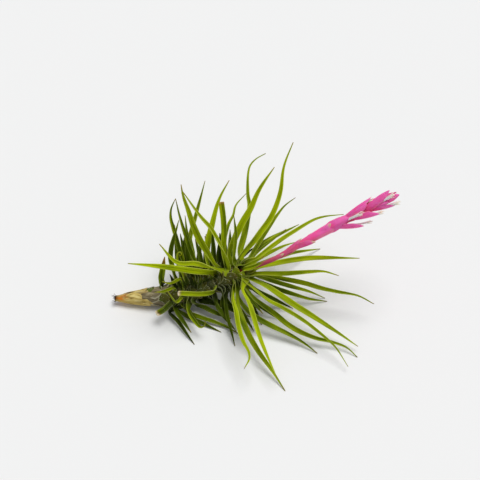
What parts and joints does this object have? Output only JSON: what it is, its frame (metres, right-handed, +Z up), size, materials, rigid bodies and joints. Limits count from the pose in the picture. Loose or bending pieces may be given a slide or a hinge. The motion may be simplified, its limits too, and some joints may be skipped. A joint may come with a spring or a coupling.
{
  "type": "tillandsia tenuifolia strobiliformis",
  "caption": "Air plant in flower, lying on a surface: a curved leafy shoot with a dry cut foot, narrow channelled leaves all round and a pink bract spike with white flowers.",
  "frame": {"origin": "middle of the plant's bounding box on the surface that it lies on", "axes": "+X along the shoot from its dry cut foot towards the flower spike, +Z up, +Y to the back of the plant as pictured"},
  "size_m": [0.1412, 0.1166, 0.0703],
  "materials": {
    "leaf_green": "satin, with fine grey scales",
    "dry_stem": "dry and papery",
    "bract_pink": "satin, finely ribbed",
    "petal_white": "soft, withered at the tips"
  },
  "bodies": {
    "root": {"leafy_stem": "leaf_green", "old_stem": "dry_stem", "flower_spike": "bract_pink", "flower_1": "petal_white", "flower_2": "petal_white", "flower_3": "petal_white", "flower_4": "petal_white", "flower_5": "petal_white", "flower_6": "petal_white", "flower_7": "petal_white"}
  },
  "joints": []
}
